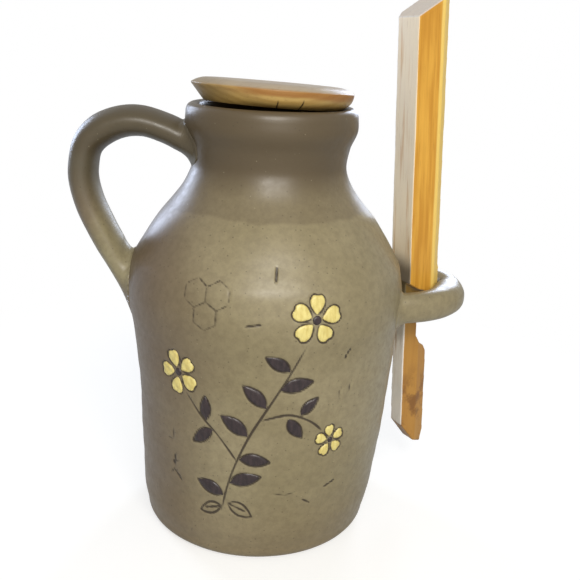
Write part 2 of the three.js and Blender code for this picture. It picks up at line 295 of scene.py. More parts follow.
# The marks fade towards the axis, where the columns meet.
sunk = add_node(turned, maths, times, {
    0: sunk, 1: add_node(turned, ranged, inputs={0: spot["X"], 1: 0.0, 2: 12 * mm})})
place = add_node(turned, vectors, scaled, {
    0: around, "Scale": add_node(turned, maths, {"operation": "SUBTRACT"}, {0: spot["X"], 1: sunk})})
place = add_node(turned, vectors, sum_of, {0: place, 1: raised})
end_shape_tree(turned, grid, place, given["Finish"])


def face_outwards(mesh, merge=0.0):
    """Turns a closed mesh's faces outwards, after points nearer than the merge distance are joined."""
    faces = bmesh.new()
    faces.from_mesh(mesh)
    bmesh.ops.remove_doubles(faces, verts=faces.verts if merge else [], dist=merge)
    bmesh.ops.recalc_face_normals(faces, faces=faces.faces)
    faces.to_mesh(mesh)
    faces.free()


def apply_modifiers(piece):
    """Makes what a piece's modifiers show into its own plain mesh."""
    bpy.context.view_layer.update()
    made = bpy.data.meshes.new_from_object(piece.evaluated_get(bpy.context.evaluated_depsgraph_get()))
    piece.modifiers.clear()
    piece.data = made


def run_tree(name, tree, line, sizes, layers=None):
    """Runs a node tree on a line of points and returns the finished piece as a plain mesh."""
    mesh = bpy.data.meshes.new(name)
    mesh.from_pydata([tuple(p) for p in line], [(i, i + 1) for i in range(len(line) - 1)], [])
    for layer, values in (layers or {}).items():
        mesh.attributes.new(layer, "FLOAT", "POINT").data.foreach_set("value", np.asarray(values, np.float32))
    piece = bpy.data.objects.new(name, mesh)
    scene.collection.objects.link(piece)
    modifier = piece.modifiers.new("shape", "NODES")
    modifier.node_group = tree
    for socket in tree.interface.items_tree:
        if socket.name in sizes and socket.in_out == "INPUT":
            modifier[socket.identifier] = sizes[socket.name]
    apply_modifiers(piece)
    face_outwards(piece.data)
    return piece


# A mix of colours has its share at socket 0 and the two colours at 6 and 7.
blend, mixed = "ShaderNodeMix", {"data_type": "RGBA"}


def tinted(tree, tone, paint, share, *limits):
    """Lays a colour or a tone over a tone. A limit is a measure, where the paint begins and is full."""
    for measure, begin, full in limits:
        share = add_node(tree, maths, times, {
            0: share, 1: add_node(tree, ranged, eased, {0: measure, 1: begin, 2: full})})
    return add_node(tree, blend, mixed, {
        0: share, 6: tone, 7: colour(paint) if isinstance(paint, str) else paint})


def end_material(tree, tone, roughness, refraction, strength, depth, relief):
    """Gives a material its tone, its sheen and a fine relief."""
    bumps = add_node(tree, "ShaderNodeBump", inputs={
        "Strength": strength, "Distance": depth, "Height": relief})
    shell = add_node(tree, "ShaderNodeBsdfPrincipled", inputs={
        "Base Color": tone, "Roughness": roughness, "IOR": refraction, "Normal": bumps})
    add_node(tree, "ShaderNodeOutputMaterial", inputs={"Surface": shell})


# Satin ash glaze on iron-bearing stoneware: olive khaki, warmer and darker towards the foot, and
# brown above the dip line. Towards the left it is painted warmer and darker, a painted shade of the
# side away from the light, on the body and along the strap's outer edge. The strap is also darker
# at its top and its tail. Iron specks are a few tenths of a millimetre wide, the sheen blurs what
# it reflects, and the foot shows dry clay. Each change of tone has what it follows, where it
# begins and is full in millimetres, its share and its colour.
for name, pale, deep, changes in (
        ("ash_glazed_stoneware", "#9c9172", "#908565", (
            # On the body and on the strap, the first change, by how far left, is painted shade.
            ("leftward_shade", -15, -53, 0.95, "#6d5b49"), ("height", 30, 0, 0.45, "#7a684e"),
            ("dip", 114.8, 116.0, 0.42, "#62543f"), ("dip", 119, 130, 0.9, "#584b37"))),
        ("ash_glazed_strap", "#9c9374", "#908667", (
            ("leftward_shade", -63, -73, 0.6, "#6f5c50"),
            ("height", 102, 124, 0.88, "#575141"), ("dip", 128, 134, 0.6, "#4a3f2c"),
            ("height", 88, 77, 0.95, "#75644f")))):
    _, tree = new_material(name)
    at = add_node(tree, "ShaderNodeTexCoord").outputs["Object"]
    xyz = add_node(tree, split, inputs={0: at}).outputs
    clouds = add_node(tree, noise, inputs={"Vector": at, "Scale": 1 / (36 * mm), "Detail": 3.0})
    mottle = add_node(tree, noise, inputs={
        "Vector": at, "Scale": 1 / (2.2 * mm), "Detail": 5.0, "Roughness": 0.68})
    where = {
        # How far left a spot lies, for the painted shade of the left side.
        "leftward_shade": add_node(tree, maths, times_plus, {0: clouds, 1: -18 * mm, 2: xyz["X"]}),
        "height": xyz["Z"],
        "dip": add_node(tree, maths, times_plus, {0: clouds, 1: 7 * mm, 2: xyz["Z"]})}
    tone = tinted(tree, colour(pale), deep, 1.0, (clouds, 0.36, 0.64))
    for measure, begin, full, share, fired in changes:
        tone = tinted(tree, tone, fired, share, (where[measure], begin * mm, full * mm))
    tone = tinted(tree, tone, "#594c38", 0.30, (mottle, 0.3, 0.72))
    grains = add_node(tree, "ShaderNodeTexVoronoi", inputs={"Vector": at, "Scale": 1 / (1.4 * mm)}).outputs
    chance = add_node(tree, "ShaderNodeSeparateColor", inputs={0: grains["Color"]})
    for nearest, farthest, low, high, share, speck in (
            (0.08, 0.24, 0.70, 0.76, 0.50, "#453a2b"),
            (0.06, 0.17, 0.09, 0.05, 0.35, "#b8ae90")):
        tone = tinted(tree, tone, speck, share, (grains["Distance"], farthest, nearest), (chance, low, high))
    cut = add_node(tree, "ShaderNodeAttribute", {"attribute_name": "cut"}).outputs["Fac"]
    tone = tinted(tree, tone, "#352a1e", 0.92, (cut, 0.12, 0.6))
    bare = add_node(tree, ranged, eased, {0: xyz["Z"], 1: 1.0 * mm, 2: 0.3 * mm})
    tone = tinted(tree, tone, "#9c8163", bare)
    roughness = add_node(tree, maths, times_plus, {
        0: bare, 1: 0.4, 2: add_node(tree, ranged, inputs={0: mottle, 1: 0.3, 2: 0.7, 3: 0.32, 4: 0.44})})
    pits = add_node(tree, noise, inputs={
        "Vector": at, "Scale": 1 / (0.8 * mm), "Detail": 3.0, "Roughness": 0.6})
    end_material(tree, tone, roughness, refraction=1.5, strength=0.4, depth=0.05 * mm, relief=pits)

body = run_tree("jar_body_thrown", turned, np.stack([profile[:, 0], drift, heights], 1), {
    "Columns": 320, "Front Crowding": 0.6, "Ring Height": 8.5 * mm, "Ring Depth": 0.045 * mm,
    "Hand Size": 42 * mm, "Hand Depth": 0.3 * mm, "Finish": bpy.data.materials["ash_glazed_stoneware"]})
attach(body, "jar")
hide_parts("jar_body")

# Pressed marks: a flowering branch, its leaves, three cells of comb and a few dashes, drawn in
# the soft clay with a blunt point. Each furrow is under half a millimetre deep, has a low burr
# on both sides and keeps dark glaze.

millimetre_turn = math.degrees(1 * mm / belly_radius)
furrow_width, furrow_depth = 0.36 * mm, 0.34 * mm
burr_aside, burr_width, burr_height = 0.85 * mm, 0.32 * mm, 0.06 * mm
chances = np.random.default_rng(7)


def skin_of(mesh, faces):
    """The skin that these faces of a mesh make, to find places on it."""
    return BVHTree.FromPolygons([v.co for v in mesh.vertices], [face.vertices[:] for face in faces])


def on_wall(bearing, height, lift=0.0):
    """The place on the wall at a bearing in degrees from the front and a height, lifted off it."""
    out = Vector((math.sin(math.radians(bearing)), -math.cos(math.radians(bearing)), 0))
    spot, normal, _, _ = body_skin.ray_cast(out * 2 * belly_radius + Vector((0, 0, height)), -out)
    return spot + normal * lift


body_skin = skin_of(body.data, body.data.polygons)


def around_spot(bearing, height, points):
    """Points in millimetres round a spot of the wall, as bearings in degrees and heights in metres."""
    points = np.asarray(points, float)
    return np.stack([bearing + points[:, 0] * millimetre_turn, height + points[:, 1] * mm], 1)


def laid(bearing, height, heading, shape):
    """A shape in millimetres, turned from X to a heading in degrees and laid round a spot of the wall."""
    c, s = math.cos(math.radians(heading)), math.sin(math.radians(heading))
    return around_spot(bearing, height, shape @ np.array([(c, s), (-s, c)]))


def read_points(mesh):
    """A mesh's points and their normals, as two arrays."""
    points, normals = np.zeros((2, len(mesh.vertices) * 3), np.float32)
    mesh.vertices.foreach_get("co", points)
    mesh.vertices.foreach_get("normal", normals)
    return points.reshape(-1, 3), normals.reshape(-1, 3)


def write_points(mesh, points):
    """Moves a mesh's points to where the array says."""
    mesh.vertices.foreach_set("co", points.ravel().astype(np.float32))
    mesh.update()


def leaf(bearing, height, heading, length, width, bend):
    """A leaf's outline in bearings and heights, from its stalk's end towards a heading in degrees."""
    shares = [(0, 0.05), (0.1, 0.3), (0.3, 0.85), (0.55, 1), (0.8, 0.62), (0.94, 0.22), (1, 0)]
    half = np.array(shares + [(x, -y) for x, y in shares[-2::-1]])
    half = curve_through(half, 5) * (length, width / 2)
    half[:, 1] += bend * length * (half[:, 0] / length) ** 2
    return laid(bearing, height, heading, half)


def petal(bearing, height, heading, length):
    """A petal's outline in bearings and heights, round a blossom's middle."""
    shares = [(0.2, 0), (0.3, 0.12), (0.55, 0.29), (0.8, 0.31), (0.96, 0.17), (0.94, 0),
              (0.96, -0.17), (0.8, -0.31), (0.55, -0.29), (0.3, -0.12), (0.2, 0)]
    return laid(bearing, height, heading, curve_through(shares, 5) * length)


branch = [(-16, 19 * mm), (-12, 32 * mm), (-5, 46 * mm), (4, 59 * mm), (11, 69 * mm), (16.5, 78.5 * mm)]
twigs = [[(-9, 38 * mm), (-17, 46 * mm), (-25, 52 * mm), (-32.5, 59.5 * mm)],
         [(0, 53 * mm), (11, 55 * mm), (20, 52.5 * mm), (26, 48.5 * mm)]]
# Bearing in degrees, height, size in millimetres, and where the first petal points.
blossoms = [(19.5, 86 * mm, 8.0, 12), (-35.5, 65 * mm, 7.6, 40), (30.5, 44.5 * mm, 5.8, 25)]
# Bearing, height and heading in degrees, length and width in millimetres, and bend.
dark_leaf_rows = [
    (-14.5, 25 * mm, 152, 11.0, 4.6, 0.12), (-12.5, 30 * mm, 22, 11.5, 4.8, -0.10),
    (-8.5, 39 * mm, 5, 10.5, 4.4, -0.14), (-4.5, 47 * mm, 138, 11.5, 4.8, 0.12),
    (2.5, 57 * mm, 128, 11.0, 4.4, 0.14), (7.0, 63.5 * mm, 20, 11.0, 4.6, -0.12),
    (11.0, 69.5 * mm, 142, 9.5, 4.0, 0.10), (-19.5, 48 * mm, 210, 9.5, 4.2, 0.10),
    (-22.5, 50.5 * mm, 100, 8.5, 3.8, -0.12), (11.0, 54 * mm, 300, 9.0, 4.0, 0.10),
    (16.0, 54.5 * mm, 52, 8.0, 3.6, -0.10)]
bare_leaf_rows = [(-15.5, 21 * mm, 195, 9.0, 4.0, 0.10), (-13.5, 22.5 * mm, 340, 10.0, 4.4, -0.10)]
dark_leaves = [leaf(*row) for row in dark_leaf_rows]
petals = [petal(b, h, start + 72 * i + chances.uniform(-4, 4), size * chances.uniform(0.94, 1.04))
          for b, h, size, start in blossoms for i in range(5)]

strokes = [curve_through(branch, 12), *(curve_through(twig, 12) for twig in twigs)]
strokes += dark_leaves + petals + [leaf(*row) for row in bare_leaf_rows]
# A leaf that stays bare of slip has a midrib.
strokes += [laid(b, h, heading + 6 * bend, np.outer(np.linspace(0.5, length * 0.75, 8), (1, 0)))
            for b, h, heading, length, _, bend in bare_leaf_rows]
# Light scratches, and the comb's cells.
faint_strokes = [around_spot(bearing, height, points) for bearing, height, points in (
    (-43, 27 * mm, [(0, 0), (2.2, 2.6), (2.6, 5.4), (5.2, 6.2)]), (-39.5, 29.6 * mm, [(0, 0), (2.4, -2.6)]),
    (-44, 40 * mm, [(0, 0), (2.8, 0.2), (3.4, 5.5)]), (37, 60 * mm, [(0, 0), (0.8, 4.5)]),
    (33, 58 * mm, [(0, 0), (-0.6, 3.0), (0.6, 5.2)]), (6, 27 * mm, [(0, 0), (5, -0.8), (9, 0.2)]))]
comb_size = 4.3
corner_turns = np.radians(np.arange(7) * 60)
for along, up in ((0, 0), (math.sqrt(3) * comb_size, 0), (math.sqrt(3) / 2 * comb_size, -1.5 * comb_size)):
    corners = np.stack([along + comb_size * np.sin(corner_turns), up + comb_size * np.cos(corner_turns)], 1)
    faint_strokes += [around_spot(-27, 92 * mm, [a, a + (b - a) * chances.uniform(0.9, 1.08)])
                      for a, b in zip(corners, corners[1:])]
# Short dashes, scattered like a few blades of grass.
for bearing, height, heading, length in (
        (4, 97 * mm, 85, 4.5), (-7, 84 * mm, 10, 5), (33, 72 * mm, 60, 4), (30, 27 * mm, 20, 5),
        (24, 22 * mm, 150, 4), (-41, 31 * mm, 70, 5), (-36, 26 * mm, 140, 4.5)):
    reach = np.array((math.cos(math.radians(heading)), math.sin(math.radians(heading)))) * length
    strokes.append(around_spot(bearing, height, [(0, 0), reach * 0.5 + chances.uniform(-0.2, 0.2, 2), reach]))

# The point presses hardest in a stroke's middle, and unevenly.
furrow_points, pressures = [], []
for weight, stroke in [(1, stroke) for stroke in strokes] + [(0.6, stroke) for stroke in faint_strokes]:
    stroke = spaced(stroke * (1 / millimetre_turn, 1 / mm), 0.25)
    along = np.linspace(0, 1, len(stroke))
    pressure = np.minimum(1, np.minimum(along, 1 - along) / 0.12 + 0.25) * weight * chances.uniform(0.7, 1.0)
    pressure *= 1 + 0.2 * np.sin(along * chances.uniform(9, 16) + chances.uniform(0, 6))
    furrow_points += [on_wall(a * millimetre_turn, h * mm) for a, h in stroke]
    pressures += list(pressure)
nearest = KDTree(len(furrow_points))
for i, point in enumerate(furrow_points):
    nearest.insert(point, i)
nearest.balance()
skin, normals = read_points(body.data)
cut = np.zeros(len(skin), np.float32)
# Only the front is marked, from the foot to the shoulder.
front = (skin[:, 1] < 0) & (skin[:, 2] > marks_low + mm) & (skin[:, 2] < marks_high)
front &= np.hypot(skin[:, 0], skin[:, 1]) > belly_radius * 0.87
for v in np.flatnonzero(front):
    near = nearest.find_range(skin[v], burr_aside + 0.75 * mm)
    if near:
        cut[v] = max(pressures[i] * math.exp(-(away / furrow_width) ** 2) for _, i, away in near)
        _, i, away = min(near, key=lambda found: found[2])
        burr = pressures[i] * math.exp(-((away - burr_aside) / burr_width) ** 2)
        skin[v] -= normals[v] * (furrow_depth * cut[v] - burr_height * burr)
body.data.attributes.new("cut", "FLOAT", "POINT").data.foreach_set("value", cut)
write_points(body.data, skin)

# Slip painting: coloured slip laid inside the furrows with a full brush, yellow on the petals
# and black-purple on the leaves. It stands about a fifth of a millimetre proud and thins out
# at its edges, where the glaze over it pools darker.

body_skin = skin_of(body.data, body.data.polygons)
# In millimetres: how far apart a patch's points stand along a row and from row to row, and how
# wide its sloping rim is. The rim starts in the furrow's bed, and the underside lies deeper.
grid_step, row_step, slope_width = 0.42, 0.36, 0.9
bed_depth, underside_depth = 0.08 * mm, 0.25 * mm


def slip_patches(name, outlines, thickness, finish):
    """Domed patches of slip on the wall, one inside each closed outline of bearings and heights."""
    points, faces, edges = [], [], []
    for shape in outlines:
        flat = np.asarray(shape) * (1 / millimetre_turn, 1 / mm)
        # Points round the outline, and rows of points inside it, every second one shifted.
        ring = spaced(np.vstack([flat, flat[:1]]), row_step)[:-1]
        low, high = ring.min(0), ring.max(0)
        inside = [(x + (j % 2) * grid_step / 2, y) for j, y in enumerate(np.arange(low[1], high[1], row_step))
                  for x in np.arange(low[0], high[0], grid_step)]
        inside = np.array([p for p in inside if np.linalg.norm(ring - p, axis=1).min() > 0.22])
        kept, _, triangles, _, _, _ = delaunay_2d_cdt(
            [Vector(p) for p in np.vstack([ring, inside])], [], [list(range(len(ring)))], 1, 1e-5)
        used, triangles = np.unique(np.array(triangles), return_inverse=True)
        triangles = triangles.reshape(-1, 3)
        kept = np.array([tuple(kept[i]) for i in used])
        away = np.array([np.linalg.norm(ring - p, axis=1).min() for p in kept])
        rise = thickness * np.sqrt(1 - (1 - np.clip(away / slope_width, 0, 1)) ** 2)
        rise *= 1 + 0.25 * np.sin(kept[:, 0] * 1.7 + kept[:, 1] * 2.3) * np.clip(away, 0, 1)
        top, under = len(points), len(points) + len(kept)
        points += [on_wall(x * millimetre_turn, y * mm, r - bed_depth) for (x, y), r in zip(kept, rise)]
        points += [on_wall(x * millimetre_turn, y * mm, -underside_depth) for x, y in kept]
        faces += (triangles + top).tolist() + (triangles[:, ::-1] + under).tolist()
        sides = np.sort(triangles[:, [[0, 1], [1, 2], [2, 0]]].reshape(-1, 2), axis=1)
        sides, uses = np.unique(sides, axis=0, return_counts=True)
        faces += [[top + a, top + b, under + b, under + a] for a, b in sides[uses == 1].tolist()]
        edges += [*np.exp(-away / 0.45), *np.ones(len(kept))]
    piece = bpy.data.objects.new(name, bpy.data.meshes.new(name))
    piece.data.from_pydata(points, [], faces)
    piece.data.attributes.new("edge", "FLOAT", "POINT").data.foreach_set("value", np.array(edges, np.float32))
    piece.data.shade_smooth()
    piece.data.materials.append(finish)
    scene.collection.objects.link(piece)
    face_outwards(piece.data)
    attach(piece, "jar")


# Slip under a thin clear glaze: brush streaks a millimetre apart show paler and darker, and the
# rim of each patch is brown. Both colours share this, and gloss a little more than the body.
for name, pale, deep, rim, shapes, thickness in (
        ("yellow_slip", "#ecdd8e", "#dbc877", "#6d5a34", petals, 0.26 * mm),
        ("black_purple_slip", "#3b2f31", "#2b2225", "#2a2321", dark_leaves, 0.24 * mm)):
    slip, tree = new_material(name)
    at = add_node(tree, "ShaderNodeTexCoord").outputs["Object"]
    drawn = add_node(tree, "ShaderNodeMapping", inputs={
        "Vector": at, "Rotation": (0.0, math.radians(35), 0.0), "Scale": (1.0, 1.0, 0.25)})
    streaks = add_node(tree, noise, inputs={
        "Vector": drawn, "Scale": 1 / (1.0 * mm), "Detail": 4.0, "Roughness": 0.6})
    tone = tinted(tree, colour(pale), deep, 1.0, (streaks, 0.36, 0.66))
    edge = add_node(tree, "ShaderNodeAttribute", {"attribute_name": "edge"}).outputs["Fac"]
    worn = add_node(tree, maths, times_plus, {0: streaks, 1: 0.5, 2: edge})
    tone = tinted(tree, tone, rim, 0.85, (worn, 0.72, 1.2))
    end_material(tree, tone, 0.36, refraction=1.5, strength=0.35, depth=0.06 * mm, relief=streaks)
    slip_patches(name + "_patches", shapes, thickness, slip)
middle_turns = np.linspace(0, 2 * math.pi, 15)[:-1]
unit_ring = np.stack([np.cos(middle_turns), np.sin(middle_turns)], 1)
slip_patches("blossom_middles", [around_spot(b, h, 0.19 * size * unit_ring) for b, h, size, _ in blossoms],
             0.4 * mm, bpy.data.materials["black_purple_slip"])

# Handle and loop: straps of pulled clay, luted to the wall while it was soft, so their roots
# spread onto it. The handle goes from the neck down to the belly and has a soft ridge along
# its middle, where the fingers drew it out. The loop lies flat at the belly's right side.

# A rounded section drawn along a path, as wide and as thick as the path's layers say.
straps, given = new_shape_tree("clay_strap", (
    ("Path", "Geometry"), ("Sides", "Int"), ("Steps", "Int"), ("Across", "Vector"),
    ("Edge Roundness", "Float"), ("Face Roundness", "Float"), ("Hand Size", "Float"),
    ("Hand Share", "Float"), ("End Crowding", "Float"), ("Finish", "Material")))
line = add_node(straps, "GeometryNodeMeshToCurve", inputs={0: given["Path"]})
grid = add_node(straps, "GeometryNodeMeshGrid", inputs={
    "Size X": 1.0, "Size Y": 1.0, "Vertices Y": given["Steps"],
    "Vertices X": add_node(straps, maths, sum_of, {0: given["Sides"], 1: 1.0})})
cell = add_node(straps, split, inputs={0: add_node(straps, "GeometryNodeInputPosition")}).outputs
turn = add_node(straps, maths, times_plus, {0: cell["X"], 1: 2 * math.pi, 2: math.pi})
even = add_node(straps, maths, sum_of, {0: cell["Y"], 1: 0.5})
wave = add_node(straps, maths, {"operation": "SINE"}, {
    0: add_node(straps, maths, times, {0: even, 1: 2 * math.pi})})
along = add_node(straps, maths, times_plus, {
    0: wave, 1: add_node(straps, maths, times, {0: given["End Crowding"], 1: -0.5 / math.pi}), 2: even})
# The strap closes to a point at each end, inside the wall.
open_here = add_node(straps, maths, {"operation": "COMPARE"}, {0: along, 1: 0.5, 2: 0.5 - 1e-4})
offsets = []
for layer, operation, roundness in (
        ("wide", "COSINE", "Edge Roundness"), ("thick", "SINE", "Face Roundness")):
    stored = add_node(straps, "GeometryNodeInputNamedAttribute", {"data_type": "FLOAT"}, {"Name": layer})
    taken = add_node(straps, "GeometryNodeSampleCurve", {
        "mode": "FACTOR", "use_all_curves": True, "data_type": "FLOAT"}, {
        "Curves": line, "Value": stored.outputs[0], "Factor": along}).outputs
    wave = add_node(straps, maths, {"operation": operation}, {0: turn})
    bent = add_node(straps, maths, {"operation": "POWER"}, {
        0: add_node(straps, maths, {"operation": "ABSOLUTE"}, {0: wave}), 1: given[roundness]})
    bent = add_node(straps, maths, times, {
        0: bent, 1: add_node(straps, maths, {"operation": "SIGN"}, {0: wave})})
    half = add_node(straps, maths, times, {0: taken["Value"], 1: 0.5})
    half = add_node(straps, maths, times, {0: half, 1: open_here})
    offsets.append(add_node(straps, maths, times, {0: bent, 1: half}))
outward = add_node(straps, vectors, {"operation": "CROSS_PRODUCT"}, {
    0: given["Across"], 1: taken["Tangent"]})
outward = add_node(straps, vectors, {"operation": "NORMALIZE"}, {0: outward})
sideways, outwards = (
    add_node(straps, vectors, scaled, {0: way, "Scale": offset})
    for way, offset in zip((given["Across"], outward), offsets))
off_spine = add_node(straps, vectors, sum_of, {0: sideways, 1: outwards})
hand = add_node(straps, noise, inputs={
    "Vector": add_node(straps, vectors, sum_of, {0: taken["Position"], 1: off_spine}),
    "Scale": add_node(straps, maths, {"operation": "DIVIDE"}, {0: 1.0, 1: given["Hand Size"]}),
    "Detail": 1.0})
kept = add_node(straps, maths, {"operation": "SUBTRACT"}, {
    0: 1.0, 1: add_node(straps, maths, times, {0: hand, 1: given["Hand Share"]})})
place = add_node(straps, vectors, sum_of, {
    0: add_node(straps, vectors, scaled, {0: off_spine, "Scale": kept}),
    1: taken["Position"]})
end_shape_tree(straps, grid, place, given["Finish"])


def lute(piece, path, fillet, towards):
    """Spreads a strap's roots onto the wall in a hollow rounding, fullest on the side towards a point."""
    skin, _ = read_points(piece.data)
    for i, spot in enumerate(skin):
        on_skin, normal, _, _ = outer_skin.find_nearest(spot)
        away = (Vector(spot) - on_skin).dot(normal)
        if away < fillet:
            middle = Vector(path[((path - spot) ** 2).sum(1).argmin()])
            aside = Vector(spot) - middle
            aside = (aside - normal * aside.dot(normal)).normalized()
            facing = aside.dot((Vector(towards) - middle).normalized())
            reach = fillet * min(max(1 + facing, 0.3), 1)
            hollow = reach * (1 - math.sqrt(1 - (1 - min(max(away / reach, 0), 1)) ** 2))
            # What would come through the wall stays two millimetres deep in it.
            skin[i] = Vector(spot) + aside * min(hollow, 0.8 * reach) + normal * max(-2 * mm - away, 0)
    write_points(piece.data, skin)


# The wall's outer face, which the roots lie on.
outer_skin = skin_of(body.data, [
    face for face in body.data.polygons if math.hypot(face.center.x, face.center.y)
    > np.interp(face.center.z, outline[:, 1], outline[:, 0]) - wall / 2])
handle_width, handle_stand_off = 17 * mm, 14.4 * mm
handle_reach = belly_radius + handle_stand_off
# The handle's spine from the neck to the belly: how far out and how high, as shares of its reach
# and of the rim's height.
handle_shares = [
    (0.361, 0.902), (0.448, 0.916), (0.557, 0.937), (0.680, 0.951), (0.800, 0.947),
    (0.905, 0.926), (0.974, 0.893), (0.998, 0.848), (0.997, 0.808), (0.967, 0.759),
    (0.911, 0.707), (0.830, 0.641), (0.748, 0.568), (0.666, 0.488)]
handle_path = curve_through([(-r * handle_reach, 0, h * rim_height) for r, h in handle_shares], 8)
# It is 10 mm thick, a little more in the bend, and thins out along its tail.
handle_thickness = np.interp(np.linspace(0, 1, len(handle_path)), [0.2, 0.38, 0.5, 0.82, 0.88, 0.93, 1],
                             [10, 10.9, 10, 10, 8.4, 7, 5.6]) * mm
handle = run_tree("handle_strap", straps, handle_path, {
    "Sides": 72, "Steps": 320, "Across": (0, 1, 0), "Edge Roundness": 1.25, "Face Roundness": 0.85,
    "Hand Size": 14 * mm, "Hand Share": 0.06, "End Crowding": 0.75,
    "Finish": bpy.data.materials["ash_glazed_strap"]}, {
    "wide": np.full(len(handle_path), handle_width), "thick": handle_thickness})
lute(handle, handle_path, fillet=4.5 * mm, towards=(-42 * mm, 0, 112 * mm))
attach(handle, "jar")
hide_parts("handle")

loop_height = 80 * mm
loop_turn = math.radians(11.5)
loop_tallness, loop_thickness, loop_side_play = 10.6 * mm, 7.8 * mm, 8.4 * mm
spatula_turn = math.radians(28)
spatula_width, spatula_thickness, spatula_play = 14 * mm, 11.2 * mm, 0.6 * mm
stick_turn = spatula_turn - loop_turn
loop_reach = (belly_radius + spatula_width * math.cos(stick_turn) + spatula_thickness * math.sin(stick_turn)
              + spatula_play + loop_thickness / 2)
loop_half = ((spatula_width * math.sin(stick_turn) + spatula_thickness * math.cos(stick_turn)) / 2
             + loop_side_play + loop_thickness / 2)
# Seen from above, the loop is a bow that is a little squarer than a half round.
loop_squareness = 2.33
sweep = np.sin(np.linspace(-math.pi / 2, math.pi / 2, 121))
out = np.clip(1 - np.abs(sweep) ** loop_squareness, 0, None) ** (1 / loop_squareness)
bow = np.stack([loop_reach * (0.6 + 0.4 * out), sweep * loop_half], 1)
bow = spaced(np.concatenate([
    [(loop_reach * 0.45, -loop_half)], bow, [(loop_reach * 0.45, loop_half)]]), 0.7 * mm)
# The strap is fatter towards the hole at its corners, where it was bent round.
inward = np.gradient(bow, axis=0)
inward = np.stack([-inward[:, 1], inward[:, 0]], 1) / np.linalg.norm(inward, axis=1)[:, None]
fatter = np.interp(bow[:, 1] / mm, [-19.5, -18, -15, -10, -6, -3, 0, 3, 9, 14],
                   [0, 0.6, 1.8, 2.2, 1.8, 0.9, 0.15, 0.1, 0.5, 2.0]) * mm
bow = bow + inward * fatter[:, None]
loop_path = np.stack([bow[:, 0] * math.cos(loop_turn) - bow[:, 1] * math.sin(loop_turn),
                      bow[:, 0] * math.sin(loop_turn) + bow[:, 1] * math.cos(loop_turn),
                      np.full(len(bow), loop_height)], 1)
# Its ends lie 4 mm inside the wall's face.
rooted = np.hypot(loop_path[:, 0], loop_path[:, 1]) > belly_radius - 4 * mm
loop_path, fatter = loop_path[rooted], fatter[rooted]
loop = run_tree("spatula_loop_strap", straps, loop_path, {
    "Sides": 64, "Steps": 260, "Across": (0, 0, 1), "Edge Roundness": 0.85, "Face Roundness": 0.85,
    "Hand Size": 12 * mm, "Hand Share": 0.05, "End Crowding": 0.75,
    "Finish": bpy.data.materials["ash_glazed_stoneware"]}, {
    "wide": np.full(len(loop_path), loop_tallness), "thick": loop_thickness + 2 * fatter})
lute(loop, loop_path, fillet=3.2 * mm, towards=(58 * mm, 0, -200 * mm))
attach(loop, "jar")
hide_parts("spatula_loop")

# Lid: a disc of oak turned with a rounded bevel that sits on the lip and a low crown above it,
# then oiled. It lies a little tipped. Its left flank was pared flat with a knife, hands
# darkened it along its widest line, and two drying cracks open at the bevel's foot.

lid_top_radius, lid_bottom_radius, lid_thickness, lid_crown = 26.2 * mm, 22 * mm, 7 * mm, 2 * mm
lid_bevel = lid_top_radius - lid_bottom_radius
lid_flat_radius = lid_top_radius - lid_crown * 2.6
lid_side = curve_through([
    (lid_bottom_radius, -lid_thickness), (lid_bottom_radius + lid_bevel * 0.52, -lid_thickness * 0.83),
    (lid_bottom_radius + lid_bevel * 0.84, -lid_thickness * 0.62), (lid_top_radius, -lid_crown),
    (lid_top_radius - lid_crown * 0.2, -lid_crown * 0.75),
    (lid_top_radius - lid_crown * 0.9, -lid_crown * 0.36),
    (lid_top_radius - lid_crown * 1.8, -lid_crown * 0.08), (lid_flat_radius, 0)], 5)
lid_line = np.concatenate([
    spaced(np.array([(0, -lid_thickness), (lid_bottom_radius, -lid_thickness)]), 2 * mm)[:-1], lid_side,
    spaced(np.array([(lid_flat_radius, 0), (0, 0)]), 1.2 * mm)[1:]])
lid_roll, lid_pitch = math.radians(2.2), math.radians(-1.9)
lid_tilt = Matrix.Rotation(lid_roll, 4, "Y") @ Matrix.Rotation(lid_pitch, 4, "X")

oak, tree = new_material("oiled_oak")
lid = run_tree("lid_turned_disc", turned, np.stack([lid_line[:, 0], lid_line[:, 0] * 0, lid_line[:, 1]], 1), {
    "Columns": 220, "Front Crowding": 0.2, "Ring Height": 3 * mm, "Ring Depth": 0.01 * mm,
    "Hand Size": 16 * mm, "Hand Depth": 0.14 * mm, "Finish": oak})
skin, _ = read_points(lid.data)
radius = np.maximum(np.hypot(skin[:, 0], skin[:, 1]), 1e-6)
# The left flank is cut back to a straight slope.
straight = lid_bottom_radius + lid_bevel * (skin[:, 2] + lid_thickness) / (lid_thickness - lid_crown)
pared = np.clip((-skin[:, 0] / radius - 0.1) / 0.6, 0, 1) * (radius > straight)
skin[:, :2] *= (1 + (straight / radius - 1) * pared)[:, None]
write_points(lid.data, skin)
lid.data.transform(lid_tilt)
lid_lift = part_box("lid")[1].z - max(v.co.z for v in lid.data.vertices)
lid.data.transform(Matrix.Translation((0, 0, lid_lift)))

